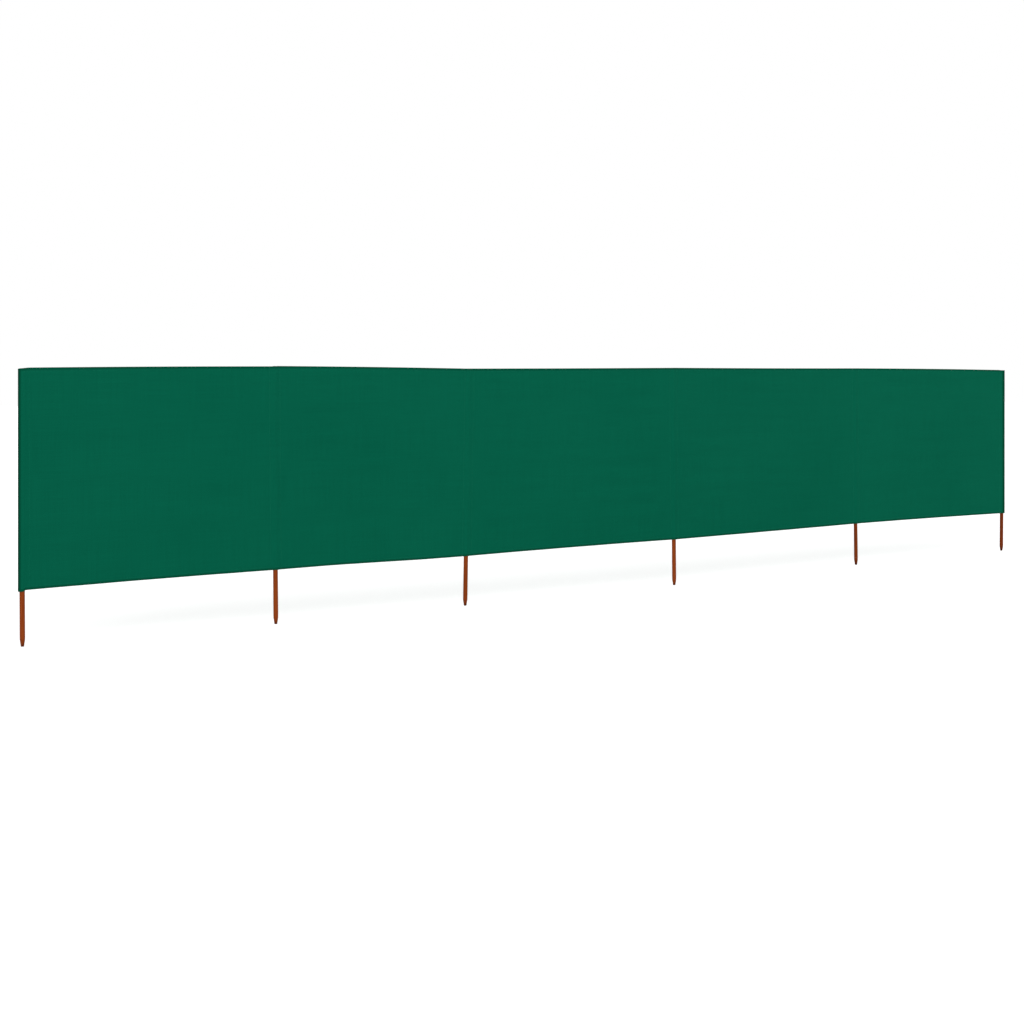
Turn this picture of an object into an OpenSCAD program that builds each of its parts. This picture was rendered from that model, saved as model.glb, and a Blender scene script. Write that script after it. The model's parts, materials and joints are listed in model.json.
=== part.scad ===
// Beach windbreak: one long cloth stretched over six wooden poles that are pushed into the ground.
// Millimetres, +Z up. The origin is the middle of the first pole's blunt foot. The fence runs
// along +X, its plain face looks along -Y, and the pockets that hold the poles are sewn on the
// face that looks along +Y.

/* [Cloth] */
// Height of the cloth, from hem to hem
cloth_h = 1187; // [900:1:1300]
// Thickness of one layer of cloth, as modelled
ply = 1; // [0.6:0.1:2]
// Depth of the folded hem along the top and the bottom edge
hem_h = 22; // [15:1:40]

/* [Poles] */
// Length of a pole, from its foot to the cloth's top edge
pole_len = 1500; // [1350:5:1800]
// Diameter of a pole
pole_d = 28; // [18:0.5:34]
// Length of the sharpened end
tip_len = 37; // [25:1:90]
// Diameter of the blunt foot
foot_d = 16.5; // [6:0.5:20]

/* [Pockets] */
// Width of a pole pocket between its two seams
pocket_w = 62; // [56:1:100]
// Width of the seam allowance outside each seam
seam_w = 9; // [5:1:15]
// Reach of the end fold past the middle of the first pole
first_reach = 23; // [18:0.5:45]
// Reach of the end fold past the middle of the last pole
last_reach = 34; // [18:0.5:45]

/* [Bays] */
// Widths of the five bays, foot to foot
bay_w = [1441, 1291, 1690, 1873, 1684]; // [1200:1:2000]
// How far each foot stands in front of (-) or behind (+) the straight line between the ends
stagger = [0, -75, -85, -95, 5, 0]; // [-150:1:150]
// How much longer than the usual length each pole is
pole_extra = [-5, 9, -4, 4, 4, -7]; // [-20:1:20]
// How much lower than usual the cloth's lower edge hangs at each pole
hem_drop = [5, 4, -4, 0, 1, -4]; // [-15:1:15]
// Lean of each pole along the fence, in degrees, with its foot towards +X
pole_lean = [0.3, 0.5, -1, 0.7, 0.95, -0.7]; // [-1.5:0.1:1.5]

/* [Hidden] */
$fn = 64;
poles = len(stagger);
bays = poles - 1;

cloth_green = "#085C44";
fold_green = "#075540";
stain_brown = "#943F1D";
pole_r = pole_d / 2;
// Half of a length that reaches past everything across the fence
across = 300;
// Room between a pole and its pocket, and radius of the pocket's outside where it turns
slack = 0.1;
fold_r = pole_r + slack + ply;
// How far inside its seam a strip parts from the face
wedge = 1.5 * ply;
// Steps of each round stretch of a pocket
arc_steps = 16;

// Distance of foot i from the first foot, along the fence
function foot_x(i) = i == 0 ? 0 : foot_x(i - 1) + bay_w[i - 1];
foot = [for (i = [0:bays]) [foot_x(i), stagger[i]]];

// Height of the cloth's top edge and of its lower edge at pole i
function top_z(i) = pole_len + pole_extra[i];
function hem_z(i) = top_z(i) - cloth_h - hem_drop[i];

// Direction of bay k in plan, and of the fence where it passes pole i
function bay_dir(k) = (foot[k + 1] - foot[k]) / norm(foot[k + 1] - foot[k]);
function run_dir(i) = i == 0 ? bay_dir(0) : i == bays ? bay_dir(bays - 1) : bay_dir(i - 1) + bay_dir(i);
function run_angle(i) = atan2(run_dir(i)[1], run_dir(i)[0]);

// Outward normal of bay k, on the plain face, and the offset that keeps the cloth's layers
// parallel where they turn round pole i
function out(k) = [bay_dir(k)[1], -bay_dir(k)[0]];
function turn(i) =
    i == 0 ? out(0) :
    i == bays ? out(bays - 1) :
    (out(i - 1) + out(i)) / (1 + out(i - 1) * out(i));

// Corner of the cloth in plan at pole i, d in front of the pole's axis, and past it by reach
function corner(i, d, reach = 0) = foot[i] + d * turn(i) + reach * bay_dir(min(i, bays - 1));

// Point of a circle of radius r where a line from point a touches it, on the +Y side
function touch(a, r, side) =
    let (t = atan2(a[1], a[0]) + side * acos(r / norm(a)))
    r * [cos(t), sin(t)];

// Everything between two heights that follow the cloth's edges
module between(low, high) {
    first = foot[0][0] - first_reach - across;
    last = foot[bays][0] + last_reach + across;
    outline = concat(
        [[first, low[0]]],
        [for (i = [0:bays]) [foot[i][0], low[i]]],
        [[last, low[bays]]],
        [[last, high[bays]]],
        [for (i = [bays:-1:0]) [foot[i][0], high[i]]],
        [[first, high[0]]]
    );
    rotate([90, 0, 0])
        linear_extrude(height = 2 * across, center = true)
            polygon(outline);
}

module under_top(depth) {
    between([for (i = [0:bays]) 0], [for (i = [0:bays]) top_z(i) - depth]);
}

module cloth_band() {
    between([for (i = [0:bays]) hem_z(i)], [for (i = [0:bays]) top_z(i)]);
}

module top_band() {
    between([for (i = [0:bays]) top_z(i) - hem_h], [for (i = [0:bays]) top_z(i)]);
}

module bottom_band() {
    between([for (i = [0:bays]) hem_z(i)], [for (i = [0:bays]) hem_z(i) + hem_h]);
}

// Puts its children at the foot of pole i, turned with the fence and leaning along it
module at_pole(i, lean) {
    translate([foot[i][0], foot[i][1], 0])
        rotate([0, 0, run_angle(i)])
            rotate([0, -lean, 0])
                children();
}

// One length of a layer of cloth along bay k, between two distances in front of the poles' axes
module layer(k, near, far) {
    first = k == 0 ? fold_r - first_reach : 0;
    last = k == bays - 1 ? last_reach - fold_r : 0;
    linear_extrude(height = 2 * pole_len)
        polygon([
            corner(k, near, first),
            corner(k, far, first),
            corner(k + 1, far, last),
            corner(k + 1, near, last)
        ]);
}

// A round pole with a sharpened foot, cut level below and flush under the cloth above
module pole(i) {
    color(stain_brown)
    intersection() {
        at_pole(i, pole_lean[i])
            translate([0, 0, -1])
                union() {
                    cylinder(h = tip_len + 1, d1 = foot_d, d2 = pole_d);
                    translate([0, 0, tip_len + 1])
                        cylinder(h = pole_len, d = pole_d);
                }
        under_top(ply);
    }
}

// Reach of pocket i to each side of its pole's foot, and of its seam allowances past that
function left_reach(i) = i == 0 ? first_reach : pocket_w / 2;
function right_reach(i) = i == bays ? last_reach : pocket_w / 2;

// Points of an arc about a centre, from one angle to another
function arc(centre, r, from, to) =
    [for (s = [0:arc_steps]) let (a = from + (to - from) * s / arc_steps) centre + r * [cos(a), sin(a)]];

// Direction from the pole's axis in which a path of radius r leaves it for a point on one side
function leaving(r, point, side) = let (t = touch(point, r, side)) atan2(t[1], t[0]);

// Taut path of radius r round pole i in plan, from its left to its right. It starts and ends at
// the seams, at height level, or turns round the end of the cloth from the face to the back.
function taut(i, r, inset, level) =
    let (
        left = [-left_reach(i) + inset, level],
        right = [right_reach(i) - inset, level],
        from = i == 0 ? 90 : leaving(r, left, -1),
        to = i == bays ? 90 : leaving(r, right, 1)
    )
    concat(
        i == 0 ? arc([fold_r - first_reach, 0], r, 270, 90) : [left],
        from > to ? arc([0, 0], r, from, to) : [],
        i == bays ? arc([last_reach - fold_r, 0], r, 90, -90) : [right]
    );

// Outer side of the strip of pocket i in plan, with its seam allowances on the back of the face
function strip_back(i) =
    let (
        level = -pole_r + ply,
        left_end = -left_reach(i) - seam_w,
        right_end = right_reach(i) + seam_w
    )
    concat(
        i == 0 ? [] : [[left_end, -pole_r], [left_end, level]],
        taut(i, fold_r, 0, level),
        i == bays ? [] : [[right_end, level], [right_end, -pole_r]]
    );

// Outline of the strip: its outer side, and its inner side the other way round
function strip_outline(i) =
    let (inner = taut(i, fold_r - ply, wedge, -pole_r))
    concat(strip_back(i), [for (s = [len(inner) - 1:-1:0]) inner[s]]);

// Outline of everything behind the face at pocket i, which the top closes
function top_outline(i) =
    concat(
        i == 0 ? [[fold_r - first_reach, -pole_r]] : [],
        strip_back(i),
        i == bays ? [[last_reach - fold_r, -pole_r]] : []
    );

// The strip sewn behind the cloth that holds pole i, closed over the top of the pole
module pocket(i) {
    color(fold_green) {
        intersection() {
            pocket_prism(i)
                polygon(strip_outline(i));
            cloth_band();
        }
        intersection() {
            pocket_prism(i)
                polygon(top_outline(i));
            between([for (k = [0:bays]) top_z(k) - ply], [for (k = [0:bays]) top_z(k)]);
        }
    }
}

// A pocket between two bays leans with its pole, and one at an end stays upright
module pocket_prism(i) {
    at_pole(i, i == 0 || i == bays ? 0 : pole_lean[i])
        linear_extrude(height = 2 * pole_len)
            children();
}

// The plain front layer of bay k
module panel(k) {
    color(cloth_green)
    intersection() {
        layer(k, pole_r, pole_r + ply);
        cloth_band();
    }
}

// Room that pocket i and its seam allowances take up
module pocket_room(i) {
    pocket_prism(i)
        translate([-left_reach(i) - seam_w, -2 * pole_d])
            square([left_reach(i) + right_reach(i) + 2 * seam_w, 4 * pole_d]);
}

// The folded edge of bay k, turned to the back between two pockets
module hem(k) {
    color(fold_green)
    difference() {
        intersection() {
            layer(k, pole_r - ply, pole_r);
            children();
        }
        pocket_room(k);
        pocket_room(k + 1);
    }
}

module top_hem(k) {
    hem(k) top_band();
}

module bottom_hem(k) {
    hem(k) bottom_band();
}

for (i = [0:bays]) {
    pole(i);
    pocket(i);
}
for (k = [0:bays - 1]) {
    panel(k);
    top_hem(k);
    bottom_hem(k);
}
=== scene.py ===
import json
import math

import bpy
import numpy as np
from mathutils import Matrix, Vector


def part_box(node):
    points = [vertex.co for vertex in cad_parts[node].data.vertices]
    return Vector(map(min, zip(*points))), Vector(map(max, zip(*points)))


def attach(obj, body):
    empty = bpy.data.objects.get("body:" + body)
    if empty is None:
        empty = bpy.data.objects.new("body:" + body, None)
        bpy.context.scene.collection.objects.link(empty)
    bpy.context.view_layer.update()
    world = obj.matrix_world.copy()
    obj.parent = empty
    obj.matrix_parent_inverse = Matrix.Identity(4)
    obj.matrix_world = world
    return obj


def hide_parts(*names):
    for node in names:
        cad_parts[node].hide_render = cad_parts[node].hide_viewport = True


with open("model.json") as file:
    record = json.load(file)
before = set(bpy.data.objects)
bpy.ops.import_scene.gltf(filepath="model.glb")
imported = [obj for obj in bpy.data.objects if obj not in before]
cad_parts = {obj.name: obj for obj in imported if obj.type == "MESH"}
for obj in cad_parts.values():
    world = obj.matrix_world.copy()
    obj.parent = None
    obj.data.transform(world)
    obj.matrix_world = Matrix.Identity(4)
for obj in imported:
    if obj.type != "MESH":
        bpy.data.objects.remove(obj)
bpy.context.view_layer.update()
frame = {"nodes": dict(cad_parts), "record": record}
scene = bpy.context.scene
scene.view_settings.view_transform = "Standard"

# Camera. It stands in front of the fence at eye height, a little before the first pole. It looks
# level, 33 degrees round towards the far end, and its view is shifted down to show the feet.
camera = bpy.data.objects.new("camera", bpy.data.cameras.new("camera"))
camera.location = (-2.2, -8.19, 1.469)
camera.rotation_euler = (math.radians(90), 0, math.radians(-33.13))
camera.data.sensor_width = 36
camera.data.lens = 52.73
camera.data.shift_x = -0.0005
camera.data.shift_y = -0.1356
scene.collection.objects.link(camera)
scene.camera = camera

# Poles. Each is a round hardwood pole, turned to 28 mm, stained red-brown and sharpened at its
# lower end to a blunt foot. The end grain and the cut cone are darker, partly from more stain going
# in and partly as painted shade under the downward-facing tip.
pole_r = 0.014
foot_r = 0.00825
cone_h = 0.037
top_chamfer = 0.002
# How far each pole stops short of the cloth that is closed over it
under_cloth = 0.0035
feet = np.array([mount["pos_m"] for mount in frame["record"]["mounts"]])
bays = len(feet) - 1
# How dark the stain came out on each pole, from 0 to 1
pole_stain = [0.0, 0.0, 0.1, 0.05, 0.35, 0.37]


def corners_of(node):
    """The corners of a CAD node's mesh, one row each."""
    mesh = frame["nodes"][node].data
    flat = np.empty(3 * len(mesh.vertices))
    mesh.vertices.foreach_get("co", flat)
    return flat.reshape(-1, 3)


def top_of(node):
    """The middle of a CAD node's highest corners, which are its flat upper end."""
    corners = corners_of(node)
    highest = corners[corners[:, 2] > corners[:, 2].max() - 0.002]
    return (highest.min(0) + highest.max(0)) / 2


def keep_values(mesh, **values):
    """Stores one number for each point of a mesh under each name, for its material to read."""
    for name, value in values.items():
        attribute = mesh.attributes.new(name, "FLOAT", "POINT")
        attribute.data.foreach_set("value", np.asarray(value, np.float32).ravel())


def add_piece(name, mesh, material, slot, *nodes):
    """Adds a finished mesh to the windbreak, in place of the CAD nodes that it stands for."""
    piece = bpy.data.objects.new(name, mesh)
    scene.collection.objects.link(piece)
    mesh.materials.append(material)
    mesh.polygons.foreach_set("use_smooth", np.ones(len(mesh.polygons), bool))
    mesh.set_sharp_from_angle(angle=math.radians(50))
    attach(piece, "root")
    if nodes:
        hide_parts(*nodes)
    return piece


def add_node(material, kind, sockets=(), **settings):
    """One node of a material. sockets gives an input, by name or number, its value or its link."""
    made = material.node_tree.nodes.new(kind)
    for name, value in settings.items():
        setattr(made, name, value)
    for key, value in dict(sockets).items():
        if isinstance(value, bpy.types.NodeSocket):
            material.node_tree.links.new(value, made.inputs[key])
        else:
            made.inputs[key].default_value = value
    return made


def new_material(name, **sockets):
    """A material with only its principled shader, whose sockets are set by name."""
    material = bpy.data.materials.new(name)
    material.use_nodes = True
    shader = material.node_tree.nodes["Principled BSDF"]
    for key, value in sockets.items():
        shader.inputs[key.replace("_", " ")].default_value = value
    return material, shader


def linear(code):
    """The linear colour of an sRGB hex code: (c/12.92) in the dark, ((c+0.055)/1.055)^2.4 above."""
    parts = [int(code[at : at + 2], 16) / 255 for at in (1, 3, 5)]
    return [c / 12.92 if c <= 0.04045 else ((c + 0.055) / 1.055) ** 2.4 for c in parts] + [1]


# Turned beech under a red-brown oil stain, which leaves it nearly matt: fine long grain, darker
# where more stain went in, and at the foot also by painted shade. Grain lines are about 1 mm apart
# in the wood and drawn 2.5 mm apart.
stained_beech, shader = new_material("stained_beech", Roughness=0.6, IOR=1.5)
shader.inputs["Specular IOR Level"].default_value = 0.06
grain_width = 0.0025
here = add_node(stained_beech, "ShaderNodeTexCoord").outputs["Object"]
stretched = add_node(
    stained_beech, "ShaderNodeMapping", {"Vector": here, "Scale": (1, 1, 0.03)}
).outputs[0]
grain = add_node(
    stained_beech,
    "ShaderNodeTexNoise",
    {"Vector": stretched, "Scale": 1 / grain_width, "Detail": 4, "Roughness": 0.6},
).outputs["Fac"]
patches = add_node(
    stained_beech,
    "ShaderNodeTexNoise",
    {"Vector": here, "Scale": 9, "Detail": 2},
).outputs["Fac"]
streaks = add_node(
    stained_beech,
    "ShaderNodeMapRange",
    {"Value": grain, "From Min": 0.35, "From Max": 0.65},
).outputs[0]
bare = add_node(
    stained_beech,
    "ShaderNodeMix",
    {0: streaks, 6: linear("#84350E"), 7: linear("#9E4A1A")},
    data_type="RGBA",
).outputs[2]
# The stain attribute holds each pole's stain and, at the foot, painted shade
stain_and_tip_shade = add_node(
    stained_beech,
    "ShaderNodeAttribute",
    attribute_name="stain",
).outputs["Fac"]
uneven = add_node(
    stained_beech,
    "ShaderNodeMath",
    {0: patches, 1: 0.3, 2: stain_and_tip_shade},
    operation="MULTIPLY_ADD",
).outputs[0]
wood_colour = add_node(
    stained_beech,
    "ShaderNodeMix",
    {0: uneven, 6: bare, 7: linear("#451606")},
    data_type="RGBA",
).outputs[2]
stained_beech.node_tree.links.new(wood_colour, shader.inputs["Base Color"])
ridges = add_node(
    stained_beech,
    "ShaderNodeBump",
    {"Height": grain, "Strength": 0.35, "Distance": 0.0004},
).outputs[0]
stained_beech.node_tree.links.new(ridges, shader.inputs["Normal"])


def turned_pole(foot, top, stain, seed):
    """A lathe profile carried up the line from foot to top. Its rings stay level, so the foot
    stands flat. The radius grows along the cone, then keeps to the pole's with a waver of a
    tenth of a millimetre, and is chamfered at the top."""
    long = top[2] - foot[2] - under_cloth
    shaft = np.linspace(cone_h + 0.004, long - top_chamfer, 60)
    cone = np.linspace(0.001, cone_h - 0.001, 8)
    height = np.concatenate([[0], cone, [cone_h + 0.0005], shaft, [long]])
    radius = np.interp(
        height,
        [0, 0.001, cone_h - 0.001, cone_h + 0.001, long - top_chamfer, long],
        [foot_r - 0.001, foot_r, pole_r - 0.0003, pole_r, pole_r, pole_r - top_chamfer],
    )
    angle = np.linspace(0, 2 * np.pi, 48, endpoint=False)
    draw = np.random.default_rng(seed)
    waver = sum(
        np.sin(turns * angle + draw.uniform(0, 6) + height[:, None] * draw.uniform(3, 12))
        for turns in (1, 2, 3)
    )
    waver = 0.00004 * waver * (height > cone_h)[:, None] * (height < long - 0.01)[:, None]
    middle = foot + (top - foot) * (height / (top[2] - foot[2]))[:, None]
    ring = np.stack([np.cos(angle), np.sin(angle), 0 * angle], axis=1)
    points = middle[:, None] + (radius[:, None] + waver)[..., None] * ring
    rows, columns = points.shape[:2]
    at = np.arange(rows * columns).reshape(rows, columns)
    beside = np.roll(at, -1, axis=1)
    quads = np.stack([at[:-1], beside[:-1], beside[1:], at[1:]], axis=-1).reshape(-1, 4)
    mesh = bpy.data.meshes.new("pole")
    faces = quads.tolist() + [at[0, ::-1].tolist(), at[-1].tolist()]
    mesh.from_pydata(points.reshape(-1, 3).tolist(), [], faces)
    # The cut cone and the end grain are darkened, partly for more stain and partly as painted shade
    # of the tip
    cut = 1 - np.clip((height - cone_h) / 0.006 + 0.5, 0, 1)
    end_grain_and_tip_shade = 1 - np.clip(height / 0.02, 0, 1)
    keep_values(mesh, stain=np.repeat(stain + 0.2 * cut + 0.6 * end_grain_and_tip_shade, columns))
    return mesh


tops = np.array([top_of(f"pole_{i + 1}") for i in range(bays + 1)])
for i in range(bays + 1):
    mesh = turned_pole(feet[i], tops[i], pole_stain[i], i)
    add_piece(f"wood_pole_{i + 1}", mesh, stained_beech, "pole_wood", f"pole_{i + 1}")

# Cloth faces. One length of plain-woven, piece-dyed green cloth, pulled taut from pole to pole.
# It rides a little forward over each pole and rolls back round the end poles. Its top and bottom
# edges are folded to the back and sewn down; inside the pole pockets the folds are cut away.
ply = 0.0007
proud = 0.0028
hem_h = 0.02
seam_at = 0.031
# The air between a pole and its cloth, between the two layers of a seam, and between the closed
# top of a pocket and the face
pole_gap = 0.0005
seam_gap = 0.0003
top_gap = 0.0001
end_r = pole_r + ply + pole_gap
# How far to each side of a pole the cloth's turn from one bay to the next is spread
turn_reach = 0.015
plan = feet[:, :2]
bay_l = np.linalg.norm(np.diff(plan, axis=0), axis=1)
ahead = np.diff(plan, axis=0) / bay_l[:, None]
outward = np.stack([ahead[:, 1], -ahead[:, 0]], axis=1)
meet = 1 + (outward[:-1] * outward[1:]).sum(1)[:, None]
turn = np.vstack([outward[:1], (outward[:-1] + outward[1:]) / meet, outward[-1:]])
bend = ahead[:-1, 0] * ahead[1:, 1] - ahead[:-1, 1] * ahead[1:, 0]
bend = np.concatenate([[0], bend, [0]])
# How far along the fence each pocket's line moves for each metre of height
lean = ((tops - feet)[:, :2] * np.vstack([ahead, ahead[-1:]])).sum(1) / tops[:, 2]
lean[[0, -1]] = 0
# Where the cloth starts to turn back at its two ends, along the fence from the pole there
first_turn = end_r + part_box("pocket_1")[0].x
last_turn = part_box(f"pocket_{bays + 1}")[1].x - feet[-1, 0] - end_r
# How far each bay's top and bottom edges bow up, in the middle of the bay
top_bow = [0.002, 0.002, -0.001, -0.0015, 0.0025]
low_bow = [0.003, 0.0015, 0.003, -0.001, 0.002]
# How much more the second bay's bottom edge is drawn up before its middle, and down after it
low_swing = [0, 0.002, 0, 0, 0]


def end_heights(node, last):
    """The lowest and the highest corner at the first or the last end of a CAD face."""
    corners = corners_of(node)
    x = corners[:, 0] * (1 if last else -1)
    return corners[x > x.max() - 0.004, 2].min(), corners[x > x.max() - 0.004, 2].max()


edges = np.array(
    [end_heights("panel_1", False)] + [end_heights(f"panel_{k + 1}", True) for k in range(bays)]
)


def ease(x):
    """0 below 0, 1 above 1, and 3x^2 - 2x^3 between."""
    x = np.clip(x, 0, 1)
    return x * x * (3 - 2 * x)


def past_poles(k, along, z):
    """How far a point of bay k is from the lines of the two poles beside it at height z, and less
    than nothing past the end poles."""
    before = along - lean[k] * z
    after = bay_l[k] - along + lean[k + 1] * z
    return (before if k == 0 else abs(before)), (after if k == bays - 1 else abs(after))


def lower_edge(k, along):
    """Height of the bottom edge: a straight line between the poles, bowed by half a sine and
    swung by a whole one, and pulled down where the cloth turns round the first pole."""
    share = along / bay_l[k]
    straight = edges[k, 0] + (edges[k + 1, 0] - edges[k, 0]) * share
    dip = 0.007 * (1 - ease((along - 0.002) / 0.01)) if k == 0 else 0
    around = np.pi * np.clip(share, 0, 1)
    return straight + low_bow[k] * np.sin(around) + low_swing[k] * np.sin(2 * around) - dip


def upper_edge(k, along):
    """Height of the top edge: a straight line just over the poles' tops, bowed by half a sine. It
    drops at the fence's two ends, where the corners are pulled down and round."""
    share = along / bay_l[k]
    straight = edges[k, 1] + (edges[k + 1, 1] - edges[k, 1]) * share + 0.002
    drop = 0
    if k == 0:
        drop = 0.002 - 0.004 * ease((along + 0.015) / 0.05) * (1 - share)
        drop = drop + 0.002 * (1 - ease((along + 0.03) / 0.014))
    if k == bays - 1:
        drop = 0.002 * ease((along - bay_l[k] + 0.06) / 0.06)
        drop = drop + 0.002 * ease((along - bay_l[k] - last_turn) / 0.014)
    return straight + top_bow[k] * np.sin(np.pi * np.clip(share, 0, 1)) - drop


draw = np.random.default_rng(11)
billow = draw.uniform(-0.004, 0.004, bays)
ripples = draw.uniform(0, 1, (bays, 7, 5))
fans = draw.uniform(0, 2 * np.pi, (bays, 4))
# Heights of the ripples, of the creases, of the edges' flutter and of the puckers along a seam,
# and depths of the grooves that the stitches of a seam and of a hem pull into the cloth
ripple_h = 0.0009
crease_h = 0.0011
flutter_h = 0.0012
pucker_h = 0.0003
seam_groove = 0.0005
hem_groove = 0.0004
# How wide the cloth rides forward over a pole, how far from a pole it is still, and how much
# further on it is fully loose
bell_w = 0.017
still = 0.075
loosening = 0.15


def relief(k, along, z):
    """How far the cloth of bay k stands forward of a flat one. It is the sum of a shallow billow
    over the bay, long ripples that run along the fence and die out, creases that fan out of the
    four corners, and a flutter of the two edges, all still beside the poles; then a bell over
    each pole, a rounded turn where two bays meet, and grooves and puckers along the seams."""
    low, high = edges[k : k + 2].mean(0)
    share, up = along / bay_l[k], np.clip((z - low) / (high - low), 0, 1)
    loose = billow[k] * np.sin(np.pi * np.clip(share, 0, 1)) * (0.4 + 0.6 * np.sin(np.pi * up))
    for a, b, c, d, e in ripples[k]:
        wave = np.sin(2 * np.pi * ((z + 0.12 * (d - 0.5) * along) / (0.09 + 0.22 * a) + b))
        loose = loose + ripple_h * wave * np.exp(-(((share - c) / (0.2 + 0.3 * e)) ** 2))
    for n, phase in enumerate(fans[k]):
        across = along if n < 2 else bay_l[k] - along
        down = high - z if n % 2 else z - low
        far = np.hypot(across, down) + 1e-6
        crease = np.cos(15 * np.arctan2(down, np.abs(across) + 1e-6) + phase)
        fade = np.exp(-far / 0.32) * (1 - np.exp(-((far / 0.07) ** 2)))
        loose = loose + crease_h * crease * fade
    edge_wave = np.exp(-np.abs(z - low) / 0.07) + np.exp(-np.abs(high - z) / 0.09)
    loose = loose + flutter_h * np.sin(2 * np.pi * along / 0.41 + fans[k, 0]) * edge_wave
    loose = loose * ease((along - still) / loosening)
    loose = loose * ease((bay_l[k] - along - still) / loosening)
    for i, off, from_foot in zip((k, k + 1), past_poles(k, along, z), (along, bay_l[k] - along)):
        loose = loose + proud * np.exp(-((np.maximum(off, 0) / bell_w) ** 2))
        seam = np.abs(off - seam_at)
        pucker = np.sin(2 * np.pi * z / 0.043 + 2 * i) + 0.6 * np.sin(2 * np.pi * z / 0.027 + i)
        loose = loose - seam_groove * np.exp(-((seam / 0.0035) ** 2))
        loose = loose + pucker_h * pucker * np.exp(-seam / 0.014) * ease((off - 0.012) / 0.008)
        near = np.clip(1 - np.abs(from_foot) / turn_reach, 0, 1)
        loose = loose - bend[i] * turn_reach / 4 * near**2
    from_edge = np.minimum(z - lower_edge(k, along), upper_edge(k, along) - z)
    pucker = np.sin(2 * np.pi * along / 0.037) + 0.7 * np.sin(2 * np.pi * along / 0.061 + k)
    beside = np.exp(-np.abs(from_edge - hem_h) / 0.014) * hem_share(k, along, z)
    groove = np.exp(-(((from_edge - hem_h + 0.001) / 0.003) ** 2))
    return loose - hem_groove * groove + pucker_h * pucker * beside


def hem_share(k, along, z):
    """1 where the edges' folds have their whole depth, and 0 inside the pole pockets."""
    before, after = past_poles(k, along, z)
    return ease((before - 0.016) / 0.016) * ease((after - 0.016) / 0.016)


def on_face(k, along, z, lift=0.0):
    """The point of bay k's face at a distance along the bay and a height, lifted off the cloth by
    lift. Past an end pole's turn, along runs on round a half circle to the back."""
    first = first_turn if k == 0 else -1
    last = bay_l[k] + (last_turn if k == bays - 1 else 1)
    round_first = np.clip((first - along) / end_r, 0, np.pi)
    round_last = np.clip((along - last) / end_r, 0, np.pi)
    flat = np.clip(along, first, last)
    out = end_r - proud + relief(k, flat, z) + lift
    turned = round_first + round_last
    flat = flat - (end_r + lift) * (np.sin(round_first) - np.sin(round_last))
    out = np.where(turned > 0, (end_r + lift) * np.cos(turned), out)
    share = (flat / bay_l[k])[..., None]
    base = plan[k] + (plan[k + 1] - plan[k]) * share
    offset = turn[k] + (turn[k + 1] - turn[k]) * np.clip(share, 0, 1)
    return np.concatenate([base + offset * out[..., None], (z + 0 * along)[..., None]], axis=-1)


def shell(name, outer, cut, rim):
    """A closed sheet of cloth. outer is a grid of points on its outer side, and the inner side lies
    one ply behind it along the grid's normals. cut is each point's place on the flat cloth, and
    rim is how much painted shade darkens it there."""
    rows, columns = outer.shape[:2]
    normal = np.cross(np.gradient(outer, axis=1), np.gradient(outer, axis=0))
    normal /= np.maximum(np.linalg.norm(normal, axis=-1, keepdims=True), 1e-12)
    at = np.arange(rows * columns).reshape(rows, columns)
    under = at + rows * columns
    front = np.stack([at[:-1, :-1], at[:-1, 1:], at[1:, 1:], at[1:, :-1]], axis=-1)
    back = np.stack([under[:-1, :-1], under[1:, :-1], under[1:, 1:], under[:-1, 1:]], axis=-1)
    loop = np.concatenate([at[0, :-1], at[:-1, -1], at[-1, :0:-1], at[:0:-1, 0]])
    after = np.roll(loop, -1)
    side = np.stack([after, loop, loop + rows * columns, after + rows * columns], axis=-1)
    faces = np.concatenate([front.reshape(-1, 4), back.reshape(-1, 4), side])
    points = np.concatenate([outer.reshape(-1, 3), (outer - ply * normal).reshape(-1, 3)])
    mesh = bpy.data.meshes.new(name)
    mesh.from_pydata(points.tolist(), [], faces.tolist())
    layer = mesh.uv_layers.new(name="cut")
    layer.data.foreach_set("uv", np.tile(cut.reshape(-1, 2), (2, 1))[faces.ravel()].ravel())
    keep_values(mesh, rim=np.tile(rim.ravel(), 2))
    return mesh


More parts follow.
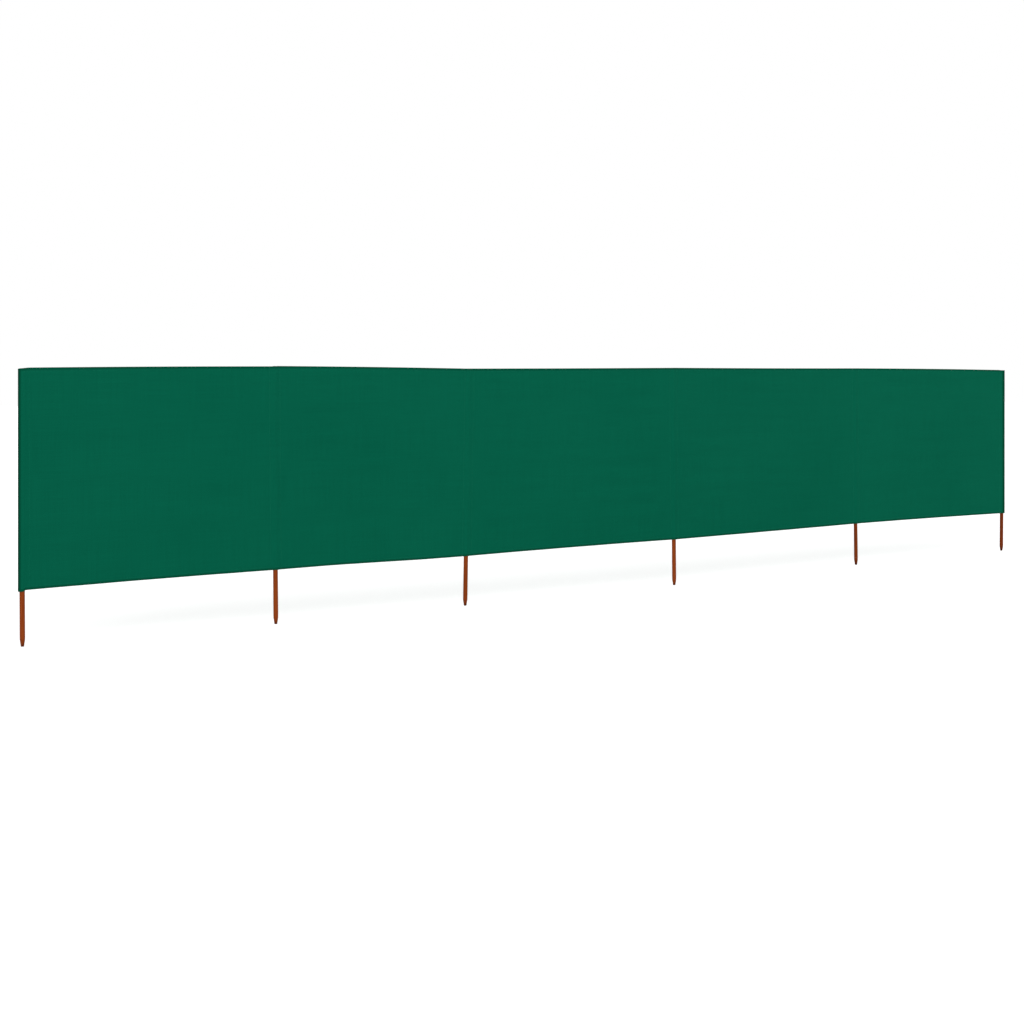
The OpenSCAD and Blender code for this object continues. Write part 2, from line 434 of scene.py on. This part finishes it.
def woven(name, dark, light):
    """Plain weave, piece-dyed. Its threads cross as the product of two sines: the warp is on top
    where that is positive, the weft where it is negative, and the gaps lie where it is 0. Thicker
    threads give faint streaks both ways. The green is cloudy in patches, painted paler towards the
    top as painted light, and darker along the folded edges and end turns as painted shade."""
    material, shader = new_material(name, Roughness=0.95, IOR=1.5)
    shader.inputs["Specular IOR Level"].default_value = 0.03
    shader.inputs["Sheen Weight"].default_value = 0.02
    shader.inputs["Sheen Roughness"].default_value = 0.5
    shader.inputs["Sheen Tint"].default_value = linear("#1C8A68")
    # The real threads are 0.5 mm apart, and drawn 1.5 mm apart so that they show close up
    thread = 0.0015
    laid = add_node(material, "ShaderNodeUVMap", uv_map="cut").outputs[0]
    split = add_node(material, "ShaderNodeSeparateXYZ", {0: laid})
    waves = []
    slubs = []
    for axis, stretch in enumerate([(1, 0.02, 1), (0.02, 1, 1)]):
        turned = {0: split.outputs[axis], 1: math.pi / thread}
        phase = add_node(material, "ShaderNodeMath", turned, operation="MULTIPLY").outputs[0]
        waves.append(add_node(material, "ShaderNodeMath", {0: phase}, operation="SINE"))
        pulled = add_node(material, "ShaderNodeMapping", {"Vector": laid, "Scale": stretch})
        slub = {"Vector": pulled.outputs[0], "Scale": 160, "Detail": 2}
        slubs.append(add_node(material, "ShaderNodeTexNoise", slub))
    crossed = {0: waves[0].outputs[0], 1: waves[1].outputs[0]}
    weave = add_node(material, "ShaderNodeMath", crossed, operation="MULTIPLY").outputs[0]
    crowns = add_node(material, "ShaderNodeMath", {0: weave}, operation="ABSOLUTE").outputs[0]
    both = {0: slubs[0].outputs["Fac"], 1: slubs[1].outputs["Fac"]}
    streaks = add_node(material, "ShaderNodeMath", both, operation="ADD").outputs[0]
    here = add_node(material, "ShaderNodeTexCoord").outputs["Object"]
    patchy = {"Vector": here, "Scale": 1.3, "Detail": 3}
    cloudy = add_node(material, "ShaderNodeTexNoise", patchy).outputs["Fac"]
    mixed = {0: streaks, 1: 0.5, 2: cloudy}
    tone = add_node(material, "ShaderNodeMath", mixed, operation="MULTIPLY_ADD").outputs[0]
    # Painted light: the green is drawn paler towards the top, as light from above falls on it
    height = add_node(material, "ShaderNodeSeparateXYZ", {0: here}).outputs[2]
    painted_top_light = {0: height, 1: 0.22, 2: tone}
    tone_and_painted_top_light = add_node(material, "ShaderNodeMath", painted_top_light, operation="MULTIPLY_ADD").outputs[0]
    limits = {"Value": tone_and_painted_top_light, "From Min": 0.72, "From Max": 1.62}
    shade = add_node(material, "ShaderNodeMapRange", limits).outputs[0]
    ends = {0: shade, 6: linear(dark), 7: linear(light)}
    dyed = add_node(material, "ShaderNodeMix", ends, data_type="RGBA").outputs[2]
    # The rim attribute is painted shade along the folded edges and round the end poles
    rim = add_node(material, "ShaderNodeAttribute", attribute_name="rim").outputs["Fac"]
    painted_edge_shade = add_node(
        material, "ShaderNodeMath", {0: rim, 1: 0.75}, operation="MULTIPLY"
    ).outputs[0]
    edge = {0: painted_edge_shade, 6: dyed, 7: linear("#01331F")}
    green = add_node(material, "ShaderNodeMix", edge, data_type="RGBA").outputs[2]
    # The threads' crowns are painted paler than the dye as painted highlight, and the gaps between
    # them darker as painted shade. The first number brings the mean of it all to 1, since the
    # crowns' mean is 4/pi^2 and the streaks' is 1
    pale = 0.718
    for part, weight in ((crowns, 0.45), (weave, 0.1), (streaks, 0.1)):
        added = {0: part, 1: weight, 2: pale}
        pale = add_node(material, "ShaderNodeMath", added, operation="MULTIPLY_ADD").outputs[0]
    scaled = {0: green, "Scale": pale}
    threaded = add_node(material, "ShaderNodeVectorMath", scaled, operation="SCALE").outputs[0]
    material.node_tree.links.new(threaded, shader.inputs["Base Color"])
    rough = {0: streaks, 1: 0.8, 2: crowns}
    threads = add_node(material, "ShaderNodeMath", rough, operation="MULTIPLY_ADD").outputs[0]
    bump = {"Height": threads, "Strength": 0.5, "Distance": 0.0002}
    raised = add_node(material, "ShaderNodeBump", bump).outputs[0]
    material.node_tree.links.new(raised, shader.inputs["Normal"])
    return material


woven_cloth = woven("woven_polyester_cotton", "#025942", "#055F47")
front_rows = np.concatenate(
    [
        np.linspace(0, 0.03, 9, endpoint=False),
        np.linspace(0.03, 0.97, 58, endpoint=False),
        np.linspace(0.97, 1, 10),
    ]
)[:, None]
rolled = np.radians([0, 36, 72, 108, 144])[:, None]
folded = np.linspace(1, 0, 4, endpoint=False)[:, None]
# The cloth goes 165 degrees round each end pole, to an edge under the end's strip
past_turn = np.radians(165) * end_r
# Half the thickness of a folded edge where it is pressed flat, and how much more it has elsewhere
pressed = 0.0008
fold_air = 0.0004
# What is left of the folds inside the pole pockets
least_hem = 0.0015
# How much painted shade darkens the folded top and bottom edges; the turns round the two end poles
# are darkened fully
edge_dark = 0.65

for k in range(bays):
    first = first_turn - past_turn if k == 0 else 0
    last = bay_l[k] + (last_turn + past_turn if k == bays - 1 else 0)
    along = np.concatenate(
        [
            np.linspace(first, 0.09, 26, endpoint=False),
            np.linspace(0.09, bay_l[k] - 0.09, int(bay_l[k] / 0.011), endpoint=False),
            np.linspace(bay_l[k] - 0.09, last, 27),
        ]
    )
    low, high = lower_edge(k, along), upper_edge(k, along)
    low_share, high_share = hem_share(k, along, low), hem_share(k, along, high)
    low_fold, high_fold = pressed + fold_air * low_share, pressed + fold_air * high_share
    low_hem, high_hem = least_hem + hem_h * low_share, least_hem + hem_h * high_share
    bottom, top = low + low_fold, high - high_fold
    height = np.vstack(
        [
            bottom + low_hem * folded,
            bottom - low_fold * np.sin(rolled),
            bottom + front_rows * (top - bottom),
            top + high_fold * np.sin(rolled[::-1]),
            top - high_hem * folded[::-1],
        ]
    )
    # The fold is round at the edge, and lies flat where it is sewn down
    lift = np.vstack(
        [
            -2 * low_fold + 2 * (low_fold - pressed) * folded,
            -low_fold * (1 + np.cos(rolled)),
            0 * front_rows + 0 * along,
            -high_fold * (1 + np.cos(rolled[::-1])),
            -2 * high_fold + 2 * (high_fold - pressed) * folded[::-1],
        ]
    )
    wide = np.broadcast_to(along, height.shape)
    outer = on_face(k, wide, height, lift)
    step = np.linalg.norm(np.diff(outer, axis=0), axis=-1).mean(1)
    laid_out = np.concatenate([[0], np.cumsum(step)])[:, None]
    cut = np.stack([wide + bay_l[:k].sum(), laid_out + 0 * wide], axis=-1)
    # Painted shade: the folded top and bottom edges, and fully the cloth's turn round each end pole
    inside = np.minimum(height - low, high - height)
    rim = edge_dark - edge_dark * ease((inside - 0.008) / 0.01)
    if k == 0:
        rim = np.maximum(rim, 1 - ease((wide - first_turn + 0.012) / 0.013))
    if k == bays - 1:
        rim = np.maximum(rim, 1 - ease((bay_l[k] + last_turn - 0.018 - wide) / 0.009))
    mesh = shell("face", outer, cut, rim)
    replaced = [f"panel_{k + 1}", f"top_hem_{k + 1}", f"bottom_hem_{k + 1}"]
    piece = add_piece(f"cloth_face_{k + 1}", mesh, woven_cloth, "cloth", *replaced)

# Pole sleeves. A strip of the same cloth is sewn behind the face at each pole with a seam on both
# sides, drawn tight round the pole, and turned over and closed on top of it. At the two ends the
# strip laps over the cloth that has come round the pole, and has one seam.
# The strips are the same cloth as the face, drawn a little darker as painted shade
pocket_cloth = woven("woven_pocket_cloth", "#02523C", "#055841")
flange = 0.009
shoulder = 0.002
# A strip is cut 1.215 m long, which is the face's height and 30 mm to close the top. Between two
# bays it is 104 mm wide: 86 mm over the pole from seam to seam, and 9 mm outside each seam. At
# the ends it is half of that and what goes round the end: 79 mm at the first and 89 at the last.
run = np.vstack([ahead[:1], ahead[:-1] + ahead[1:], ahead[-1:]])
run /= np.linalg.norm(run, axis=1)[:, None]
behind = np.stack([-run[:, 1], run[:, 0]], axis=1)


def back_of(k, along, z):
    """How far behind its outer side the cloth of bay k reaches: one ply, and two with a little
    air between them where the hem lies."""
    from_edge = np.minimum(z - lower_edge(k, along), upper_edge(k, along) - z)
    return ply + 0.0014 * ease((hem_h + 0.004 - from_edge) / 0.004) * hem_share(k, along, z)


def axis_at(i, z):
    """Place in plan of the middle of pole i's pocket at height z."""
    slope = (tops - feet)[i, :2] / tops[i, 2] * (0 < i < bays)
    return plan[i] + slope * np.asarray(z)[..., None]


def beside(i, side, off, z, gap):
    """A point behind the face, off to one side of pole i's line and gap behind the cloth's back,
    measured along and behind the pole."""
    k = i - 1 if side < 0 else i
    along = (bay_l[k] if side < 0 else 0) + lean[i] * z + side * off
    point = on_face(k, along, z, -back_of(k, along, z) - gap)[..., :2] - axis_at(i, z)
    return np.stack([point @ run[i], point @ behind[i]], axis=-1)


def heights(i, along_fence):
    """Lower and upper height of pole i's strip at a distance along the fence from the pole. It
    ends 3 mm above the face's lower edge, and 0.6 mm below its upper one."""
    k = i - 1 if i == bays or (along_fence < 0 and i > 0) else i
    place = along_fence + (bay_l[k] if k < i else 0)
    return lower_edge(k, place) + 0.003, upper_edge(k, place) - 0.0006


def half_strip(i, side, z, spread):
    """One side of a strip, from over the pole out to its edge, at the heights z, one column for
    each number of spread. It leaves the round of the pole along a tangent to the seam and goes on
    flat to the strip's edge. Past an end pole it goes straight on and round the end instead."""
    r = (pole_r + pole_gap if 0 < i < bays else end_r + seam_gap) + ply
    if side < 0 and i == 0 or side > 0 and i == bays:
        reach = -first_turn if side < 0 else last_turn
        straight = np.clip(spread / 0.4, 0, 1) * reach
        angle = np.clip((spread - 0.4) / 0.6, 0, 1) * np.radians(65)
        u, v = straight + r * np.sin(angle), r * np.cos(angle)
        return np.stack([side * u + 0 * z, v + 0 * z], axis=-1)
    seam = beside(i, side, seam_at + 0 * z, z, ply + seam_gap)
    far = np.hypot(seam[..., 0], seam[..., 1])
    touch = np.arctan2(seam[..., 1], side * seam[..., 0]) + np.arccos(r / far)
    angle = np.pi / 2 + (touch - np.pi / 2) * np.clip(spread / 0.35, 0, 1)
    on_pole = np.stack([side * r * np.cos(angle), r * np.sin(angle)], axis=-1)
    sloped = np.clip((spread - 0.35) / 0.4, 0, 1)
    slack = 0.0006 * np.sin(2 * np.pi * z / 0.057 + side * i) * np.sin(np.pi * sloped)
    sloped = (sloped + 0 * z)[..., None]
    line = on_pole * (1 - sloped) + seam * sloped
    line[..., 1] += slack
    off = seam_at + flange * np.clip((spread - 0.75) / 0.25, 0, 1)
    flat = beside(i, side, off + 0 * z, z, ply + seam_gap)
    return np.where((spread > 0.75)[..., None], flat, line)


def face_behind(i, place, z):
    """The same measures for the back of the face, opposite each point of a strip: on the bay to
    that side, or on the cloth's turn where the point is past it at an end pole."""
    off = place[..., 0]
    if i == 0:
        found = beside(i, 1, off, z, top_gap)
        return np.where((off < first_turn)[..., None], place * [1, -1], found)
    if i == bays:
        found = beside(i, -1, -off, z, top_gap)
        return np.where((off > last_turn)[..., None], place * [1, -1], found)
    left, right = beside(i, -1, -off, z, top_gap), beside(i, 1, off, z, top_gap)
    return np.where((off < 0)[..., None], left, right)


spread = np.concatenate(
    [np.linspace(0, 0.4, 9, endpoint=False), np.linspace(0.4, 0.75, 9), [0.8, 0.87, 0.94, 1]]
)
strip_rows = np.concatenate(
    [
        np.linspace(0, 0.03, 6, endpoint=False),
        np.linspace(0.03, 0.97, 56, endpoint=False),
        np.linspace(0.97, 1, 7),
    ]
)[:, None]

for i in range(bays + 1):
    sides = []
    for side in (-1, 1):
        away = side * spread * (seam_at + flange)
        low, high = np.array([heights(i, x) for x in away]).T
        z = low + strip_rows * (high - shoulder - low)
        place = half_strip(i, side, z, spread + 0 * z)
        ends = face_behind(i, place[-1:], z[-1:])
        # The shoulder turns over a small round, and the top runs on to the back of the face
        deep = np.maximum(place[-1:, :, 1] - ends[..., 1], 1e-4)
        angle = np.radians([30, 60, 90])[:, None]
        inward = np.minimum(shoulder * (1 - np.cos(angle)) / deep, 0.9)
        inward = np.vstack([inward, inward[-1:] + (1 - inward[-1:]) * [[0.25], [0.5], [0.75], [1]]])
        rise = np.vstack([shoulder * np.sin(angle), np.full((4, 1), shoulder)])
        over = place[-1:] * (1 - inward[..., None]) + ends * inward[..., None]
        place = np.vstack([place, over])
        z = np.vstack([z, z[-1:] + rise])
        world = axis_at(i, z) + place[..., :1] * run[i] + place[..., 1:] * behind[i]
        sides.append(np.concatenate([world, z[..., None]], axis=-1))
    outer = np.concatenate([sides[1][:, ::-1], sides[0][:, 1:]], axis=1)
    # The weave is laid out along one row of the strip and along one column beside its middle
    across = np.linalg.norm(np.diff(outer[20], axis=0), axis=-1)
    across = np.concatenate([[0], np.cumsum(across)])
    up = np.concatenate([[0], np.cumsum(np.linalg.norm(np.diff(outer[:, 22], axis=0), axis=-1))])
    cut = np.stack(np.broadcast_arrays(across, up[:, None]), axis=-1)
    mesh = shell("sleeve", outer, cut, 0 * outer[..., 0])
    piece = add_piece(f"pole_sleeve_{i + 1}", mesh, pocket_cloth, "cloth_pocket", f"pocket_{i + 1}")

# Stitching. Lockstitch in a thread a little paler than the cloth runs along the two hems and every
# seam of the strips, on the front and the back. Such stitches are 3 mm apart, and drawn 4 mm apart.
pitch = 0.004
sewing_thread, shader = new_material("polyester_sewing_thread", Roughness=0.7, IOR=1.5)
shader.inputs["Specular IOR Level"].default_value = 0.1
shader.inputs["Base Color"].default_value = linear("#1F7F61")
# Along the stitch, across it and off the cloth, in millimetres: an end, two triangles, an end
stitch = [
    (-1.6, 0, -0.15),
    (-0.9, -0.36, 0),
    (-0.9, 0, 0.5),
    (-0.9, 0.36, 0),
    (0.9, -0.36, 0),
    (0.9, 0, 0.5),
    (0.9, 0.36, 0),
    (1.6, 0, -0.15),
]
stitch = np.array(stitch) / 1000
stitch_quads = np.array([(1, 4, 5, 2), (2, 5, 6, 3), (3, 6, 4, 1)])
stitch_ends = np.array([(0, 1, 2), (0, 2, 3), (0, 3, 1), (7, 5, 4), (7, 6, 5), (7, 4, 6)])


def stitched(k, along, z, upright, back):
    """Corners and faces of one stitch at each point of bay k, on the front, or as far behind it
    as back says. An upright stitch, or one on the back, is turned over, so its faces are too."""
    length, width, off = stitch[:, :, None].transpose(1, 0, 2)
    x = along + (width if upright else length)
    y = z + (length if upright else width)
    behind_it = back is not None
    lift = -(back + off) if behind_it else off + 0 * along
    corners = on_face(k, x, y, lift).transpose(1, 0, 2).reshape(-1, 3)
    flip = -1 if upright != behind_it else 1
    start = len(stitch) * np.arange(len(along))[:, None, None]
    quads = (start + stitch_quads[:, ::flip]).reshape(-1, 4)
    ends = (start + stitch_ends[:, ::flip]).reshape(-1, 3)
    return corners, quads, ends


for k in range(bays):
    rows = []
    along = np.arange(first_turn if k == 0 else 0.002, bay_l[k] + last_turn * (k == bays - 1), pitch)
    for z in (lower_edge(k, along) + hem_h - 0.001, upper_edge(k, along) - hem_h + 0.001):
        rows.append(stitched(k, along, z, False, None))
        clear = np.minimum(*past_poles(k, along, z)) > seam_at + flange + 0.003
        open_part, level = along[clear], z[clear]
        rows.append(stitched(k, open_part, level, False, back_of(k, open_part, level)))
    for i, side in ((k, 1), (k + 1, -1)):
        z = np.arange(edges[i, 0] + 0.008, edges[i, 1] - 0.004, pitch)
        along = (0 if side > 0 else bay_l[k]) + lean[i] * z + side * (seam_at + 0.0015)
        rows.append(stitched(k, along, z, True, None))
        rows.append(stitched(k, along, z, True, back_of(k, along, z) + ply + seam_gap))
    starts = np.cumsum([0] + [len(row[0]) for row in rows])
    points = np.concatenate([row[0] for row in rows])
    faces = [q for row, s in zip(rows, starts) for q in (row[1] + s).tolist()]
    faces += [t for row, s in zip(rows, starts) for t in (row[2] + s).tolist()]
    mesh = bpy.data.meshes.new("stitches")
    mesh.from_pydata(points.tolist(), [], faces)
    add_piece(f"stitching_{k + 1}", mesh, sewing_thread, "cloth")

# Floor and light. A plain white floor under a white studio, with one large soft lamp behind the
# camera and a weaker one behind the fence. The floor shows white and keeps a soft shadow.
mesh = bpy.data.meshes.new("floor")
mesh.from_pydata([(-60, -60, 0), (60, -60, 0), (60, 60, 0), (-60, 60, 0)], [], [(0, 1, 2, 3)])
floor = bpy.data.objects.new("floor", mesh)
scene.collection.objects.link(floor)
white_floor, shader = new_material("white_floor", Roughness=1.0)
shader.inputs["Base Color"].default_value = (0.8, 0.8, 0.8, 1)
shader.inputs["Specular IOR Level"].default_value = 0.0
seen = add_node(white_floor, "ShaderNodeLightPath")
lifted = add_node(
    white_floor,
    "ShaderNodeMath",
    {0: seen.outputs["Is Camera Ray"], 1: 0.45},
    operation="MULTIPLY",
).outputs[0]
shader.inputs["Emission Color"].default_value = (1, 1, 1, 1)
white_floor.node_tree.links.new(lifted, shader.inputs["Emission Strength"])
mesh.materials.append(white_floor)

world = bpy.data.worlds.new("studio")
scene.world = world
world.use_nodes = True
background = world.node_tree.nodes["Background"]
path = add_node(world, "ShaderNodeLightPath")
shown = add_node(
    world,
    "ShaderNodeMath",
    {0: path.outputs["Is Camera Ray"], 1: path.outputs["Is Glossy Ray"]},
    operation="MAXIMUM",
).outputs[0]
strength = add_node(
    world, "ShaderNodeMapRange", {"Value": shown, "To Min": 0.6, "To Max": 1.0}
).outputs[0]
world.node_tree.links.new(strength, background.inputs["Strength"])
background.inputs["Color"].default_value = (1, 1, 1, 1)


def add_lamp(name, azimuth, elevation, strength, softness):
    """A distant lamp that shines from an azimuth, in degrees from -Y towards +X, and a height."""
    lamp = bpy.data.objects.new(name, bpy.data.lights.new(name, "SUN"))
    lamp.data.energy = strength
    lamp.data.angle = math.radians(softness)
    lamp.rotation_euler = (math.radians(90 - elevation), 0, math.radians(azimuth))
    scene.collection.objects.link(lamp)


add_lamp("key", -25, 35, 1.4, 60)
add_lamp("fill", 160, 40, 0.6, 60)
